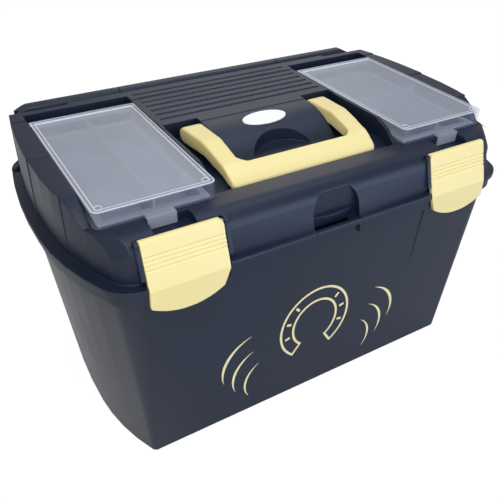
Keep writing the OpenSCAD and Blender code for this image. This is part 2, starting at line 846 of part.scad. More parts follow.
// U-shaped handle: its plan cut to its side profile, with bored arms
module carry_handle() color(cream) {
    half = handle_width / 2;
    inner = half - arm_width;
    corner = half - handle_taper;
    difference() {
        intersection() {
            linear_extrude(far) difference() {
                polygon(concat(
                    [[half, pivot_y + arm_radius], [-half, pivot_y + arm_radius]],
                    arc([nose_round - corner, handle_front + nose_round], nose_round, 180, 270, 5),
                    arc([corner - nose_round, handle_front + nose_round], nose_round, 270, 360, 5)
                ));
                polygon([[inner, far], [inner, grip_y + gusset], [inner - gusset, grip_y],
                    [-inner + gusset, grip_y], [-inner, grip_y + gusset], [-inner, far]]);
            }
            along_x(-far, far) {
                translate([pivot_y, pivot_z]) circle(arm_radius);
                polygon([
                    [pivot_y, arm_top], [level_y, arm_top], [level_y - knee_run, arm_top - knee_fall],
                    [grip_y, grip_top], [handle_front + grip_brow, nose_z + grip_brow_rise],
                    [handle_front + nose_slope, nose_z + nose], [handle_front, nose_z],
                    [handle_front + nose, nose_z - nose_drop], [grip_y, grip_top - grip_thick],
                    [level_y, arm_top - arm_depth], [pivot_y, pivot_z - arm_radius]
                ]);
            }
        }
        rod_x(-pin_end, pin_end, pivot_y, pivot_z, handle_pin + pin_play);
    }
}

// Pin in the block that an arm turns on
module handle_pin_right() {
    rod_x(island_half - pin_seat, pin_end - side_play, pivot_y, pivot_z, handle_pin);
}

module right_handle_pin() color("silver") handle_pin_right();

module left_handle_pin() color("silver") mirror([1, 0, 0]) handle_pin_right();

// Latch: barrel at the top, plate along the front slope, finger lip below
module latch_right() {
    difference() {
        intersection() {
            along_x(latch_in, latch_out) {
                translate(latch_pivot) circle(latch_barrel);
                polygon([
                    latch_pivot + latch_barrel * slope_out, plate_low + latch_thick * slope_out, bend,
                    [bend[0], latch_low - lip_drop], [lip_y, latch_low - lip_drop], [lip_y, bend[1]],
                    plate_low, plate_top, latch_pivot
                ]);
            }
            along_y(front_y - cut, 0) latch_outline();
        }
        for (i = [0:grip_count - 1]) grip_groove(i);
        rod_x(latch_in - cut, latch_out + cut, latch_pivot[0], latch_pivot[1], latch_pin + pin_play);
    }
}

// Front view of the right latch: bowed lip, chamfered and rounded inner corners
module latch_outline() {
    half = (latch_width - lip_side) / 2;
    lip_bow = (half * half + lip_drop * lip_drop) / (2 * lip_drop);
    top = latch_pivot[1] + latch_barrel - latch_corner;
    difference() {
        translate([latch_in, latch_low]) square([latch_width, far]);
        polygon([[latch_in - cut, latch_low - cut], [latch_in + lip_side, latch_low - cut],
            [latch_in + lip_side, latch_low], [latch_in, latch_low + lip_chamfer],
            [latch_in - cut, latch_low + lip_chamfer]]);
        difference() {
            translate([latch_in - cut, top]) square([latch_corner + cut, far]);
            translate([latch_in + latch_corner, top]) circle(latch_corner);
        }
    }
    intersection() {
        translate([latch_in + lip_side, latch_low - lip_drop]) square([2 * half, lip_drop + cut]);
        translate([latch_in + lip_side + half, latch_low - lip_drop + lip_bow]) circle(lip_bow, $fn = 96);
    }
}

// One of the fine finger grooves across the latch's plate
module grip_groove(i) {
    p = plate_low + latch_thick * slope_out + (grip_start + i * grip_pitch) * slope_up;
    rod_x(latch_in - cut, latch_out + cut, p[0], p[1], grip_radius);
}

module right_latch() color(cream) latch_right();

module left_latch() color(cream) mirror([1, 0, 0]) latch_right();

module latch_pin_right() {
    reach = latch_room + lid_wall - side_play;
    rod_x(latch_in - reach, latch_out + reach, latch_pivot[0], latch_pivot[1], latch_pin);
}

module right_latch_pin() color("silver") latch_pin_right();

module left_latch_pin() color("silver") mirror([1, 0, 0]) latch_pin_right();

// Cover's plan drawn in by d, with round front corners, from z0 to z1
module cover_shape(d, back, z0, z1) {
    r = cover_corner - d;
    translate([0, 0, z0]) linear_extrude(z1 - z0) {
        translate([cover_in + d + r, d - cover_length])
            square([cover_out - cover_in - 2 * (d + r), back + cover_length - d]);
        translate([cover_in + d, d + r - cover_length])
            square([cover_out - cover_in - 2 * d, back + cover_length - d - r]);
        for (x = [cover_in + d + r, cover_out - d - r]) translate([x, d + r - cover_length]) circle(r);
    }
}

// Clear cover: top with a raised edge, skirt, hinge barrel and snap tongue
module cover_right() {
    hook = -cover_length - tongue_reach;
    half = tongue_width / 2;
    top = cover_low + tongue_lift + cover_wall;
    cover_frame() difference() {
        union() {
            difference() {
                cover_shape(0, 0, cover_low, cover_barrel);
                cover_shape(cover_wall, cut, cover_low - cut, cover_barrel - cover_wall);
                cover_shape(cover_edge, -cover_edge, cover_barrel - cover_recess, cover_barrel + cut);
            }
            rod_x(cover_in, cover_out, 0, 0, cover_barrel);
            block([cover_mid - half, hook, cover_low + tongue_lift],
                [cover_mid + half, -cover_length + cover_wall / 2, top]);
            block([cover_mid - half, hook, cover_low - tongue_hook],
                [cover_mid + half, hook + cover_wall, top]);
        }
        rod_x(cover_in - cut, cover_out + cut, 0, 0, cover_pin + pin_play);
    }
}

module right_cover() color("#A9ACB6", 0.6) cover_right();

module left_cover() color("#A9ACB6", 0.6) mirror([1, 0, 0]) cover_right();

module cover_pin_right() {
    reach = cover_room + lid_wall - side_play;
    rod_x(cover_in - reach, cover_out + reach, cover_pivot_y, cover_z, cover_pin);
}

module right_cover_pin() color("silver") cover_pin_right();

module left_cover_pin() color("silver") mirror([1, 0, 0]) cover_pin_right();

// Compartment that hangs in a well: flange, walls, floor and a cross partition
module insert_right() {
    low = cover_low - well_depth;
    seat = cover_low - cover_room;
    high = cover_barrel - cover_wall - cover_room * 2;
    middle = (well_front + well_back) / 2;
    front = well_front + insert_room;
    back = well_back - insert_room;
    left = well_in + insert_room;
    right = well_out - insert_room;
    half = insert_wall / 2;
    cover_frame() {
        difference() {
            union() {
                block([left, front, low], [right, back, seat + insert_wall]);
                block([well_in - insert_flange, well_front - insert_flange, seat],
                    [well_out + insert_flange, well_back + insert_flange, seat + insert_wall]);
            }
            block([left + insert_wall, front + insert_wall, low + insert_wall],
                [right - insert_wall, back - insert_wall, far]);
        }
        block([cover_mid - half, front, low], [cover_mid + half, back, high]);
        block([left, middle - half, low], [right, middle + half, high]);
    }
}

module right_insert() color("#A9ACB6") insert_right();

module left_insert() color("#A9ACB6") mirror([1, 0, 0]) insert_right();

tub();
lid();
hinge_rod();
carry_handle();
left_handle_pin();
right_handle_pin();
left_latch();
right_latch();
left_latch_pin();
right_latch_pin();
left_cover();
right_cover();
left_cover_pin();
right_cover_pin();
left_insert();
right_insert();
lift_out_tray();
oval_badge();
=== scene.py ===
# %% [markdown]
# # A horse grooming box
# The box comes from CAD as separate solids: tub, lid, handle, latches, covers and what
# holds them. This lesson gives them the soft edges, moulded plastics, printed front and
# studio light that the real box has. CAD is the fixed frame, so nothing is moved here.

# %% Load the frame
import json
from math import cos, pi, radians, sin

import bpy
from mathutils import Matrix, Vector


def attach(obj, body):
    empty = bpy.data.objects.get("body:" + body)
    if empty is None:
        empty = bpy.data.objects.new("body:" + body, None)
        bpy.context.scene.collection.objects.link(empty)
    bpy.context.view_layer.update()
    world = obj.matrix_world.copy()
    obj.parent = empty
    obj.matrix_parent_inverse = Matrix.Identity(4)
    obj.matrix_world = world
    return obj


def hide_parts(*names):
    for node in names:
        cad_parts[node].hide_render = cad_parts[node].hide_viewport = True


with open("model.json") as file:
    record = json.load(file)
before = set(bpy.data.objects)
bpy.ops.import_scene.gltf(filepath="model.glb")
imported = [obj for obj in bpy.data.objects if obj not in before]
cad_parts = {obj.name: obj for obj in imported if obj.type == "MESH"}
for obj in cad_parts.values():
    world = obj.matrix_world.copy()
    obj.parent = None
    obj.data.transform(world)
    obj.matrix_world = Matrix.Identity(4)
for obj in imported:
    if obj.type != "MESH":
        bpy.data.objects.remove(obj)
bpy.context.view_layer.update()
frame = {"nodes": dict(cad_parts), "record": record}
MM = 0.001

# %% [markdown]
# ## The camera
# The picture was taken from the left front, well above the box. A camera's three axes
# follow from the compass angle and the height angle of the line of sight, so two angles,
# a place and a focal length are all that it needs. The focal length was found in pixels
# of a 500 pixel picture, and a 36 mm sensor turns it into a lens.

# %% Camera
PICTURE = 500
FOCAL_PIXELS = 604.5
SENSOR = 36.0
LOOK_AZIMUTH = radians(-30.5)
LOOK_ELEVATION = radians(34.3)
CAMERA_PLACE = Vector((-253.3, -417.6, 426.5)) * MM

back = Vector((sin(LOOK_AZIMUTH) * cos(LOOK_ELEVATION),
               -cos(LOOK_AZIMUTH) * cos(LOOK_ELEVATION), sin(LOOK_ELEVATION)))
right = Vector((0, 0, 1)).cross(back).normalized()
up = back.cross(right)
bpy.ops.object.camera_add()
camera = bpy.context.object
camera.name = "product_camera"
camera.data.sensor_width = SENSOR
camera.data.lens = FOCAL_PIXELS / PICTURE * SENSOR
axes = Matrix((right, up, back)).transposed().to_4x4()
camera.matrix_world = Matrix.Translation(CAMERA_PLACE) @ axes
bpy.context.scene.camera = camera
print("lens", round(camera.data.lens, 1), "mm")

# %% [markdown]
# ## Colours and nodes
# Colours are easy to read as the hex values of a screen, but shaders want linear light.
# One function does the change. A second small function adds a shader node with its
# settings and links, so that a material below reads as a short list of nodes.

# %% Two small helpers
def linear(hex_colour):
    parts = [int(hex_colour[i:i + 2], 16) / 255 for i in (1, 3, 5)]
    return [p / 12.92 if p <= 0.04045 else ((p + 0.055) / 1.055) ** 2.4 for p in parts] + [1.0]


def add(material, kind, settings=None, **inputs):
    node = material.node_tree.nodes.new(kind)
    for name, value in (settings or {}).items():
        setattr(node, name, value)
    for name, value in inputs.items():
        key = int(name[1:]) if name[1:].isdigit() else name.replace("_", " ")
        socket = node.inputs[key]
        if hasattr(value, "links"):
            material.node_tree.links.new(value, socket)
        else:
            socket.default_value = value
    return node


def new_material(name):
    material = bpy.data.materials.new(name)
    material.use_nodes = True
    material.node_tree.nodes.remove(material.node_tree.nodes["Principled BSDF"])
    return material


def finish_material(material, shader):
    output = material.node_tree.nodes["Material Output"]
    material.node_tree.links.new(shader.outputs[0], output.inputs["Surface"])


print("navy in linear light:", [round(v, 4) for v in linear("#101A2D")])

# %% [markdown]
# ## Moulded polypropylene
# Tub, lid and tray are injection moulded polypropylene. The steel mould is spark eroded,
# which leaves a fine leathery grain that takes the mirror out of the gloss. A fine noise
# drives the bump for that grain, and a slow noise varies the roughness a little, as the
# plastic does where it flowed and cooled. The real grain is about 0.3 mm, too fine to
# show here, so it is drawn at 1.4 mm.

# %% Navy polypropylene
GRAIN = 1.4 * MM
FLOW = 60 * MM


def moulded(name, dark, light, roughness, grain_depth):
    material = new_material(name)
    place = add(material, "ShaderNodeTexCoord").outputs["Object"]
    grain = add(material, "ShaderNodeTexNoise", Vector=place, Scale=1 / GRAIN, Detail=3.0,
                Roughness=0.6)
    flow = add(material, "ShaderNodeTexNoise", Vector=place, Scale=1 / FLOW, Detail=2.0)
    colour = add(material, "ShaderNodeMix", {"data_type": "RGBA"}, _0=flow.outputs["Fac"],
                 _6=linear(dark), _7=linear(light))
    gloss = add(material, "ShaderNodeMapRange", Value=flow.outputs["Fac"], To_Min=roughness - 0.05,
                To_Max=roughness + 0.07)
    bump = add(material, "ShaderNodeBump", Height=grain.outputs["Fac"], Strength=0.35,
               Distance=grain_depth)
    shader = add(material, "ShaderNodeBsdfPrincipled", Base_Color=colour.outputs[2],
                 Roughness=gloss.outputs[0], IOR=1.49, Normal=bump.outputs["Normal"])
    finish_material(material, shader)
    return material


navy = moulded("navy_polypropylene", "#101A2D", "#152035", roughness=0.4, grain_depth=0.12 * MM)
print(navy.name)

# %% [markdown]
# ## Cream and grey polypropylene
# The handle and latches are the same plastic with a cream pigment. They came out of a
# polished mould, so they are smoother, with only a faint grain. The inserts in the lid
# are a pale grey, rougher and seen only through their covers.

# %% Cream and grey polypropylene
cream = moulded("cream_polypropylene", "#F2DE98", "#F6E5A2", roughness=0.36, grain_depth=0.04 * MM)
grey = moulded("grey_polypropylene", "#A2A7B3", "#ACB1BC", roughness=0.5, grain_depth=0.05 * MM)
print(cream.name, grey.name)

# %% [markdown]
# ## Frosted covers
# The covers are natural polypropylene without pigment: a milky haze that still lets the
# compartments show. Each wall is seen through two skins, so the alpha of one skin is only
# about half of what the eye sees. The borders of the raised edge get a whiter, more opaque
# material, a painted highlight for the light that leaves the plastic there, and the thin
# skirt is clearer.

# %% Frosted polypropylene
def frosted(name, tint, skin, roughness):
    material = new_material(name)
    place = add(material, "ShaderNodeTexCoord").outputs["Object"]
    haze = add(material, "ShaderNodeTexNoise", Vector=place, Scale=1 / FLOW, Detail=2.0)
    rough = add(material, "ShaderNodeMapRange", Value=haze.outputs["Fac"], To_Min=roughness - 0.04,
                To_Max=roughness + 0.06)
    veil = add(material, "ShaderNodeMapRange", Value=haze.outputs["Fac"], To_Min=skin - 0.04,
               To_Max=skin + 0.04)
    grain = add(material, "ShaderNodeTexNoise", Vector=place, Scale=1 / GRAIN, Detail=3.0)
    bump = add(material, "ShaderNodeBump", Height=grain.outputs["Fac"], Strength=0.2,
               Distance=0.05 * MM)
    shader = add(material, "ShaderNodeBsdfPrincipled", Base_Color=linear(tint), IOR=1.49,
                 Roughness=rough.outputs[0], Alpha=veil.outputs[0], Normal=bump.outputs["Normal"])
    finish_material(material, shader)
    return material


frosted_sheet = frosted("frosted_polypropylene", "#BABFCB", skin=0.42, roughness=0.32)
frosted_skirt = frosted("frosted_polypropylene_skirt", "#8E98AC", skin=0.16, roughness=0.32)
# The edge material is whiter and more opaque: a painted highlight where light leaves the plastic.
frosted_painted_glow = frosted("frosted_polypropylene_painted_glow", "#E6E9F0", skin=0.7, roughness=0.3)
print(frosted_sheet.name, frosted_skirt.name, frosted_painted_glow.name)

# %% [markdown]
# ## Small finishes
# The bare oval badge is white glossy plastic, the pins are drawn steel wire with lines
# along their length, and the print on the front is cream ink with a slightly uneven lay.

# %% Badge, wire and ink
badge_white = moulded("white_gloss_plastic", "#F4F4F2", "#FAFAF8", roughness=0.18,
                      grain_depth=0.01 * MM)
ink = moulded("cream_screen_ink", "#EFE0A6", "#F6E9B4", roughness=0.45, grain_depth=0.02 * MM)

steel = new_material("drawn_steel_wire")
wire_place = add(steel, "ShaderNodeTexCoord").outputs["Object"]
LINES_ALONG, LINES_ACROSS = 20, 4000
draw_lines = add(steel, "ShaderNodeMapping", Vector=wire_place,
                 Scale=(LINES_ALONG, LINES_ACROSS, LINES_ACROSS))
lines = add(steel, "ShaderNodeTexNoise", Vector=draw_lines.outputs[0], Scale=1.0, Detail=2.0)
line_bump = add(steel, "ShaderNodeBump", Height=lines.outputs["Fac"], Strength=0.2,
                Distance=0.02 * MM)
wire = add(steel, "ShaderNodeBsdfPrincipled", Base_Color=linear("#B4B5B8"), Metallic=1.0,
           Roughness=0.3, Normal=line_bump.outputs["Normal"])
finish_material(steel, wire)
print(badge_white.name, ink.name, steel.name)

# %% [markdown]
# ## Soft edges
# A CAD solid has knife edges, but a moulded part never does, and it is the light caught
# on its edges that makes it look real. So each solid is copied, its loose triangles are
# merged, and a bevel with a limit on the angle rounds only the true edges. Weighted
# normals then let the large flat faces lead the shading, so no grey creeps across them.
# The copy stands for the solid from then on and rides on the same body. Where an operator
# works on a part of a piece only, pick selects that part's points, edges or faces.

# %% Copy of a CAD solid
bodies = frame["record"]["behaviour"]["bodies"]
body_of = {node: body for body, nodes in bodies.items() for node in nodes}
slot_of = {part["node"]: part["material_slot"] for part in frame["record"]["subparts"]}
WELD = 0.005 * MM
NEAR = 0.1 * MM


def select_only(piece):
    bpy.ops.object.select_all(action="DESELECT")
    piece.select_set(True)
    bpy.context.view_layer.objects.active = piece


def copy_of(node, name):
    select_only(frame["nodes"][node])
    bpy.ops.object.duplicate()
    piece = bpy.context.object
    piece.name = name
    piece.data.name = name
    bpy.ops.object.mode_set(mode="EDIT")
    bpy.ops.mesh.select_all(action="SELECT")
    bpy.ops.mesh.remove_doubles(threshold=WELD)
    bpy.ops.object.mode_set(mode="OBJECT")
    return piece


def pick(piece, kind, wanted):
    select_only(piece)
    bpy.ops.object.mode_set(mode="EDIT")
    bpy.ops.mesh.select_mode(type=kind)
    bpy.ops.mesh.select_all(action="DESELECT")
    bpy.ops.object.mode_set(mode="OBJECT")
    mesh = piece.data
    parts = {"VERT": mesh.vertices, "EDGE": mesh.edges, "FACE": mesh.polygons}[kind]
    for part in parts:
        part.select = wanted(part)
    print(piece.name, "picked:", sum(part.select for part in parts))
    bpy.ops.object.mode_set(mode="EDIT")


def apply(piece, kind, **settings):
    select_only(piece)
    modifier = piece.modifiers.new(kind.lower(), kind)
    for name, value in settings.items():
        setattr(modifier, name, value)
    bpy.ops.object.modifier_apply(modifier=modifier.name)


def dress(piece, body, slot, *materials):
    piece.data.materials.clear()
    for material in materials:
        piece.data.materials.append(material)
    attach(piece, body)
    print(piece.name, len(piece.data.polygons), "faces on", body)


def stand_in(piece, node, *materials):
    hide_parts(node)
    dress(piece, body_of[node], slot_of[node], *materials)


# %% [markdown]
# ## Tray, inserts and badge
# These are thin shells with long crisp edges. The moulder breaks such edges by about half
# a millimetre, so that is the width of the bevel.

# %% Shells
def soften(piece, edge):
    apply(piece, "BEVEL", width=edge, segments=2, limit_method="ANGLE",
          angle_limit=radians(30), use_clamp_overlap=False)
    bpy.ops.object.shade_smooth_by_angle(angle=radians(40))
    apply(piece, "WEIGHTED_NORMAL", keep_sharp=True, weight=50)


for node, edge, material in (("lift_out_tray", 0.5, navy), ("left_insert", 0.3, grey),
                             ("right_insert", 0.3, grey), ("oval_badge", 0.4, badge_white)):
    piece = copy_of(node, "moulded_" + node)
    soften(piece, edge * MM)
    stand_in(piece, node, material)

# %% [markdown]
# ## Tub
# The ledges that carry the tray reach a hair through the end walls of the solid, at two
# corners on each side. Dissolving the outer point of such a corner leaves a flat patch in
# the wall, so the outside stays smooth when its edges are softened.

# %% Tub
LEDGE_OUT = 186.65 * MM
LEDGE_HALF = 30 * MM
LEDGE_FOOT = 112 * MM


def pokes_out(point):
    place = point.co
    return (abs(place.x) > LEDGE_OUT and abs(abs(place.y) - LEDGE_HALF) < NEAR
            and abs(place.z - LEDGE_FOOT) < NEAR)


tub = copy_of("tub", "moulded_tub")
pick(tub, "VERT", pokes_out)
bpy.ops.mesh.dissolve_verts()
bpy.ops.object.mode_set(mode="OBJECT")
soften(tub, edge=0.5 * MM)
stand_in(tub, "tub", navy)

# %% [markdown]
# ## Lid
# Between the latches the front of the real lid runs out to the rim in one sweep below its
# round brow, while the solid drops straight there. The front faces are picked by their
# place and swung out about the lower edge of the brow.

# %% Lid
SWEEP_HALF = 90.3 * MM
BROW_FOOT = Vector((0, -112.8, 207.6)) * MM
FRONT_BAND = (-113.8 * MM, -112.7 * MM)
LIP_TOP = 187 * MM
SWEEP = radians(12)


def in_front(point):
    place = point.co
    return (abs(place.x) < SWEEP_HALF and FRONT_BAND[0] < place.y < FRONT_BAND[1]
            and LIP_TOP - NEAR < place.z < BROW_FOOT.z - 2 * NEAR)


lid = copy_of("lid", "moulded_lid")
pick(lid, "VERT", in_front)
bpy.ops.transform.rotate(value=SWEEP, orient_axis="X", center_override=BROW_FOOT)
bpy.ops.object.mode_set(mode="OBJECT")
swung = [point.co.y for point in lid.data.vertices if point.select]
print("front now at", round(min(swung) / MM, 1), "mm")

# %% [markdown]
# ## Lip of the lid
# The lip at the foot of the lid is what fingers slide along, so its front edge is rounder
# than the others. That edge is bevelled by itself first, and all others are softened after.

# %% Lip of the lid
LIP_FRONT = -122 * MM
LIP_ROUND = 1.5 * MM


def round_lip(piece):
    points = piece.data.vertices

    def on_lip(edge):
        ends = [points[corner].co for corner in edge.vertices]
        return all(end.y < LIP_FRONT + NEAR and abs(end.z - LIP_TOP) < NEAR for end in ends)

    pick(piece, "EDGE", on_lip)
    bpy.ops.mesh.bevel(offset=LIP_ROUND, segments=3, affect="EDGES")
    bpy.ops.object.mode_set(mode="OBJECT")


round_lip(lid)
soften(lid, edge=0.45 * MM)
stand_in(lid, "lid", navy)

# %% [markdown]
# ## Handle and latches
# What a hand holds is rounder. A bevel would trip over the many small faces of these
# solids, so they get an even skin instead: voxels rebuild the surface at one size, a few
# rounds of smoothing wear the edges down as a polisher would, and a decimation takes the
# faces out again where the surface is plain.

# %% Worn soft
def wear(piece, grid, rounds, keep):
    apply(piece, "REMESH", mode="VOXEL", voxel_size=grid)
    apply(piece, "SMOOTH", factor=0.5, iterations=rounds)
    apply(piece, "DECIMATE", ratio=keep)
    bpy.ops.object.shade_smooth_by_angle(angle=radians(60))


handle = copy_of("carry_handle", "moulded_handle")
wear(handle, grid=0.8 * MM, rounds=22, keep=0.35)
stand_in(handle, "carry_handle", cream)
for side in ("left", "right"):
    latch = copy_of(side + "_latch", side + "_moulded_latch")
    wear(latch, grid=0.4 * MM, rounds=5, keep=0.3)
    stand_in(latch, side + "_latch", cream)

# %% [markdown]
# ## Covers
# Clear plastic shows white where light leaves through an edge. That white is painted
# here: the rear barrel and both borders of the raised edge get the whiter, more opaque
# material as a painted highlight, and the thin skirt a clearer one. An inset of the raised
# edge's top draws the borders. The faces are picked by their place in the cover's own
# frame, which leans by about two degrees at its hinge.

# %% Frosted covers
HINGE = Vector((0, 65.5, 234.6)) * MM
LEAN = radians(2.1)
COVER_FRONT = -154 * MM
COVER_TOP = 3.2 * MM
FIELD = 0.9 * MM
BORDER = 0.9 * MM
SHEET = 2.4 * MM
BARREL = -4 * MM
PAINTED_GLOW_SLOT, SKIRT_SLOT = 1, 2
cover_frame = Matrix.Translation(HINGE) @ Matrix.Rotation(LEAN, 4, "X")


def in_cover(face):
    return cover_frame.inverted() @ face.center


for side in ("left", "right"):
    cover = copy_of(side + "_cover", side + "_frosted_cover")
    soften(cover, edge=0.35 * MM)
    pick(cover, "FACE", lambda face: in_cover(face).z > COVER_TOP - 0.02 * MM)
    bpy.ops.mesh.inset(thickness=BORDER)
    bpy.ops.object.mode_set(mode="OBJECT")
    stand_in(cover, side + "_cover", frosted_sheet, frosted_painted_glow, frosted_skirt)
    for face in cover.data.polygons:
        place = in_cover(face)
        if face.select:
            continue
        # Painted highlight: the raised edge's borders and the barrel take the whiter material.
        if place.z > COVER_TOP - FIELD + NEAR or place.y > BARREL:
            face.material_index = PAINTED_GLOW_SLOT
        elif place.y > COVER_FRONT - 0.5 * MM and place.z < COVER_TOP - SHEET:
            face.material_index = SKIRT_SLOT

# %% [markdown]
# ## Ejector marks
# Small rings sit on the front corners of the covers, where pins pushed the part out of
# its mould. A thin torus, half sunk into the edge, makes one ring.

# %% Ejector marks
MARK_IN = 6 * MM
MARK_SUNK = 0.25 * MM
COVER_SIDES = (85.5 * MM, 174 * MM)
for side, sign in (("left", -1), ("right", 1)):
    for x in (COVER_SIDES[0] + MARK_IN, COVER_SIDES[1] - MARK_IN):
        bpy.ops.object.select_all(action="DESELECT")
        place = cover_frame @ Vector((sign * x, COVER_FRONT + MARK_IN, COVER_TOP - MARK_SUNK))
        bpy.ops.mesh.primitive_torus_add(location=place, rotation=(LEAN, 0, 0),
                                         major_radius=2.6 * MM, minor_radius=0.4 * MM,
                                         major_segments=32, minor_segments=10)
        mark = bpy.context.object
        mark.name = side + "_ejector_mark"
        bpy.ops.object.transform_apply()
        bpy.ops.object.shade_smooth()
        # The ring takes the whiter edge material, so it shows the same painted highlight.
        dress(mark, side + "_cover", "frosted_plastic", frosted_painted_glow)

# %% [markdown]
# ## Thumb ledge
# Inside the thumb notch a thin ledge bows forward, so that the thumb has something to
# press up against. It is a slice of a flat disc: the disc is cut along the notch's back
# wall and at both ends, and its edges are broken like the lid's.

# %% Thumb ledge
NOTCH_BACK = -110 * MM
NOTCH_HALF = 20.6 * MM
LEDGE_BOW = 60 * MM
LEDGE_TIP = -114.2 * MM
LEDGE_HEIGHT = 193 * MM
bpy.ops.object.select_all(action="DESELECT")
bpy.ops.mesh.primitive_cylinder_add(vertices=160, radius=LEDGE_BOW, depth=2 * MM,
                                    location=(0, LEDGE_TIP + LEDGE_BOW, LEDGE_HEIGHT))
ledge = bpy.context.object
ledge.name = "thumb_ledge"
bpy.ops.object.transform_apply()
bpy.ops.object.mode_set(mode="EDIT")
for place, normal in (((0, NOTCH_BACK + 0.5 * MM, 0), (0, 1, 0)),
                      ((NOTCH_HALF, 0, 0), (1, 0, 0)), ((-NOTCH_HALF, 0, 0), (-1, 0, 0))):
    bpy.ops.mesh.select_all(action="SELECT")
    bpy.ops.mesh.bisect(plane_co=place, plane_no=normal, use_fill=True, clear_outer=True)
bpy.ops.object.mode_set(mode="OBJECT")
soften(ledge, edge=0.4 * MM)
dress(ledge, "lid", "navy_plastic", navy)

# %% [markdown]
# ## Lip under the notch
# On the real lid the lip runs on below the thumb notch. A bar of the lip's section closes
# it there, with the same round front edge, and reaches a little into the lip at each end.

# %% Lip under the notch
LIP_BACK = -117.5 * MM
LIP_FOOT = 182.3 * MM
LIP_HALF = 21.3 * MM
bpy.ops.object.select_all(action="DESELECT")
lip_middle = (0, (LIP_FRONT + LIP_BACK) / 2, (LIP_FOOT + LIP_TOP) / 2)
bpy.ops.mesh.primitive_cube_add(size=1, location=lip_middle,
                                scale=(2 * LIP_HALF, LIP_BACK - LIP_FRONT, LIP_TOP - LIP_FOOT))
lip = bpy.context.object
lip.name = "lip_under_notch"
bpy.ops.object.transform_apply()
round_lip(lip)
soften(lip, edge=0.45 * MM)
dress(lip, "lid", "navy_plastic", navy)

# %% [markdown]
# ## Printed front
# The front carries a line drawing in cream ink. Here it is a plain horseshoe with nail
# marks and a few sweeping strokes. The horseshoe is a circle that is opened at the bottom,
# extruded to a band and inset. Without its inner faces the band leaves just an even line.

# %% Horseshoe
PRINT_Y = -130 * MM
SHOE = Vector((-6 * MM, PRINT_Y, 84 * MM))
SHOE_RADIUS = 21 * MM
SHOE_REACH = radians(148)
SHOE_BAND = (1.68, 1, 1.62)
SHOE_TALL = (1, 1, 1.16)
LINE = 2.2 * MM
print_pieces = []


def open_arc(centre, radius, keep):
    bpy.ops.object.select_all(action="DESELECT")
    bpy.ops.mesh.primitive_circle_add(vertices=96, radius=radius, location=centre,
                                      rotation=(pi / 2, 0, 0))
    bpy.ops.object.transform_apply()
    arc = bpy.context.object
    pick(arc, "VERT", lambda point: (point.co - centre).angle(Vector((0, 0, 1))) > keep)
    bpy.ops.mesh.delete(type="VERT")
    bpy.ops.mesh.select_all(action="SELECT")
    bpy.ops.mesh.extrude_region_move()
    print_pieces.append(arc)
    return arc


shoe = open_arc(SHOE, SHOE_RADIUS, SHOE_REACH)
bpy.ops.transform.resize(value=SHOE_BAND, center_override=SHOE)
bpy.ops.mesh.select_all(action="SELECT")
bpy.ops.transform.resize(value=SHOE_TALL, center_override=SHOE)
bpy.ops.mesh.inset(thickness=LINE)
bpy.ops.mesh.delete(type="FACE")
bpy.ops.object.mode_set(mode="OBJECT")
print("horseshoe outline:", len(shoe.data.polygons), "faces")

# %% [markdown]
# ## Nail marks
# A shoe is nailed on at both sides, so three short marks follow each side. A mark is a
# small plane that is pushed out from the middle, turned about it and stretched with the shoe.

# %% Nail marks
NAIL_SIZE = (LINE, 1, 4.6 * MM)
NAIL_OUT = 28 * MM
for turn in (-105, -75, -45, 45, 75, 105):
    bpy.ops.object.select_all(action="DESELECT")
    bpy.ops.mesh.primitive_plane_add(size=1, location=SHOE, rotation=(pi / 2, 0, 0))
    bpy.ops.object.transform_apply()
    print_pieces.append(bpy.context.object)
    bpy.ops.object.mode_set(mode="EDIT")
    bpy.ops.mesh.select_all(action="SELECT")
    bpy.ops.transform.resize(value=NAIL_SIZE, center_override=SHOE)
    bpy.ops.transform.translate(value=(0, 0, NAIL_OUT))
    bpy.ops.transform.rotate(value=radians(turn), orient_axis="Y", center_override=SHOE)
    bpy.ops.transform.resize(value=SHOE_TALL, center_override=SHOE)
    bpy.ops.object.mode_set(mode="OBJECT")
print(len(print_pieces), "printed lines")

# %% [markdown]
# ## Strokes
# Three strokes sweep up on each side. A stroke is an arc that is extruded and flattened
# towards its chord. Where the two lines meet they are merged, which gives pointed ends.

# %% Strokes
STROKE_REACH = radians(52)
STROKE_FLAT = (1, 1, 0.78)
STROKE_TIP = 0.2 * MM
for x, z, radius, turn in ((-62, 64, 34, 62), (-56, 50, 30, 70), (-48, 38, 26, 78),
                           (50, 64, 34, -62), (44, 50, 30, -70), (36, 38, 26, -78)):
    middle = Vector((x * MM, PRINT_Y, z * MM))
    open_arc(middle, radius * MM, STROKE_REACH)
    chord = middle + Vector((0, 0, radius * cos(STROKE_REACH) * MM))
    bpy.ops.transform.resize(value=STROKE_FLAT, center_override=chord)
    bpy.ops.mesh.select_all(action="SELECT")
    bpy.ops.mesh.remove_doubles(threshold=STROKE_TIP)
    bpy.ops.transform.rotate(value=radians(turn), orient_axis="Y", center_override=middle)
    bpy.ops.object.mode_set(mode="OBJECT")
print(len(print_pieces), "printed lines")

# %% [markdown]
# ## Ink on the wall
# Ink has no thickness to speak of, but it follows the wall. All lines are joined, thrown
# onto the tub's front by a shrinkwrap, and given a tenth of a millimetre of body.

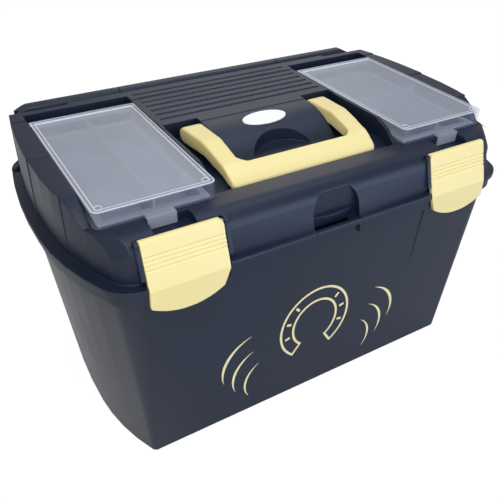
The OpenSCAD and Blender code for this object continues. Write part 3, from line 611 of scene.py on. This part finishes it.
# %% Ink on the wall
INK = 0.1 * MM
bpy.ops.object.select_all(action="DESELECT")
for line in print_pieces:
    line.select_set(True)
bpy.context.view_layer.objects.active = shoe
bpy.ops.object.join()
shoe.name = "printed_horseshoe"
bpy.ops.object.mode_set(mode="EDIT")
bpy.ops.mesh.select_all(action="SELECT")
bpy.ops.mesh.subdivide(number_cuts=1)
bpy.ops.object.mode_set(mode="OBJECT")
apply(shoe, "SHRINKWRAP", target=tub, wrap_method="PROJECT", use_project_y=True,
      use_positive_direction=True, use_negative_direction=False, offset=INK)
apply(shoe, "SOLIDIFY", thickness=INK, offset=0)
bpy.ops.object.mode_set(mode="EDIT")
bpy.ops.mesh.select_all(action="SELECT")
bpy.ops.mesh.normals_make_consistent()
bpy.ops.object.mode_set(mode="OBJECT")
dress(shoe, "tub", "cream_plastic", ink)

# %% [markdown]
# ## Steel pins
# The rod and pins are right as CAD made them, so they only get their metal.

# %% Steel pins
for node, slot in slot_of.items():
    if slot == "steel_wire":
        frame["nodes"][node].data.materials.clear()
        frame["nodes"][node].data.materials.append(steel)
        print(node)

# %% [markdown]
# ## Floor
# The picture is a plain product shot on white. The floor is pale paper, and what the
# camera sees of it is lifted to white by the Light Path node, so the object needs no more
# light for that. A photographer lays a white card beside a dark object to brighten its
# side. Here a strip of the floor on the left glows instead, for mirror rays alone, so it
# only shows as a painted reflection in the box's side.

# %% Floor
PAPER_SEEN = 0.85
# The glowing strip on the left: a painted reflection, seen only by mirror rays.
GLOW_STRIP_X = -0.26
GLOW_STRIP_HALF, GLOW_STRIP_FADE = 0.05, 0.16
GLOW_STRIP_BRIGHT, GLOW_STRIP_DIM = 0.5, 0.05
bpy.ops.object.select_all(action="DESELECT")
bpy.ops.mesh.primitive_plane_add(size=8, location=(0, 0, -0.2 * MM))
floor = bpy.context.object
floor.name = "studio_floor"
paper = new_material("white_paper_floor")
ray = add(paper, "ShaderNodeLightPath")
seen = add(paper, "ShaderNodeMath", {"operation": "MULTIPLY"},
           _0=ray.outputs["Is Camera Ray"], _1=PAPER_SEEN)
floor_place = add(paper, "ShaderNodeTexCoord").outputs["Object"]
side_way = add(paper, "ShaderNodeSeparateXYZ", Vector=floor_place)
off_strip = add(paper, "ShaderNodeMath", {"operation": "SUBTRACT"}, _0=side_way.outputs["X"], _1=GLOW_STRIP_X)
from_strip = add(paper, "ShaderNodeMath", {"operation": "ABSOLUTE"}, _0=off_strip.outputs[0])
glow_strip = add(paper, "ShaderNodeMapRange", Value=from_strip.outputs[0], From_Min=GLOW_STRIP_HALF,
           From_Max=GLOW_STRIP_FADE, To_Min=GLOW_STRIP_BRIGHT, To_Max=GLOW_STRIP_DIM)
mirrored = add(paper, "ShaderNodeMath", {"operation": "MULTIPLY"},
               _0=ray.outputs["Is Glossy Ray"], _1=glow_strip.outputs[0])
share = add(paper, "ShaderNodeMath", {"operation": "MAXIMUM"}, _0=seen.outputs[0],
            _1=mirrored.outputs[0])
matt = add(paper, "ShaderNodeBsdfDiffuse", Color=linear("#CCCCCC"))
glow = add(paper, "ShaderNodeEmission", Color=linear("#FFFFFF"), Strength=1.12)
sheet = add(paper, "ShaderNodeMixShader", _0=share.outputs[0], _1=matt.outputs[0],
            _2=glow.outputs[0])
finish_material(paper, sheet)
floor.data.materials.append(paper)
print(floor.name)

# %% [markdown]
# ## Lights
# One soft light hangs above and one stands at the front left. A cooler one, low at the
# front right, draws the blue sheen along the lid's round brow. One behind mirrors in the
# flat tops, and a small one above in the slopes.

# %% Lights
MIDDLE = Vector((0, 0, 0.15))


def soft_light(name, place, size, watts, tint):
    bpy.ops.object.light_add(type="AREA", location=place)
    lamp = bpy.context.object
    lamp.name = name
    lamp.data.size = size
    lamp.data.energy = watts
    lamp.data.color = linear(tint)[:3]
    lamp.rotation_euler = (MIDDLE - Vector(place)).to_track_quat("-Z", "Y").to_euler()


soft_light("overhead_softbox", (-0.5, -0.8, 1.8), size=1.2, watts=16, tint="#FFFFFF")
soft_light("front_left_softbox", (-1.1, -1.6, 0.9), size=1.0, watts=9, tint="#FFFFFF")
soft_light("front_right_softbox", (0.8, -1.55, 0.5), size=1.0, watts=12, tint="#C0D6FF")
soft_light("top_softbox", (0.6, 0.1, 1.8), size=0.8, watts=4, tint="#D0E0FF")
soft_light("rear_softbox", (0.8, 1.35, 1.25), size=1.0, watts=3, tint="#FFFFFF")

# %% [markdown]
# ## World
# The room around is white to the camera, but gives the object only a third of that, so the
# soft lights still model its shape. The view transform is Standard, which keeps white white.

# %% World
ROOM_LIGHT = 0.35
world = bpy.data.worlds.new("white_studio")
bpy.context.scene.world = world
world.use_nodes = True
backdrop = world.node_tree.nodes["Background"]
path = add(world, "ShaderNodeLightPath")
level = add(world, "ShaderNodeMapRange", Value=path.outputs["Is Camera Ray"], To_Min=ROOM_LIGHT,
            To_Max=1.0)
world.node_tree.links.new(level.outputs[0], backdrop.inputs["Strength"])
backdrop.inputs["Color"].default_value = linear("#FFFFFF")
bpy.context.scene.view_settings.view_transform = "Standard"
print(world.name, bpy.context.scene.view_settings.view_transform)
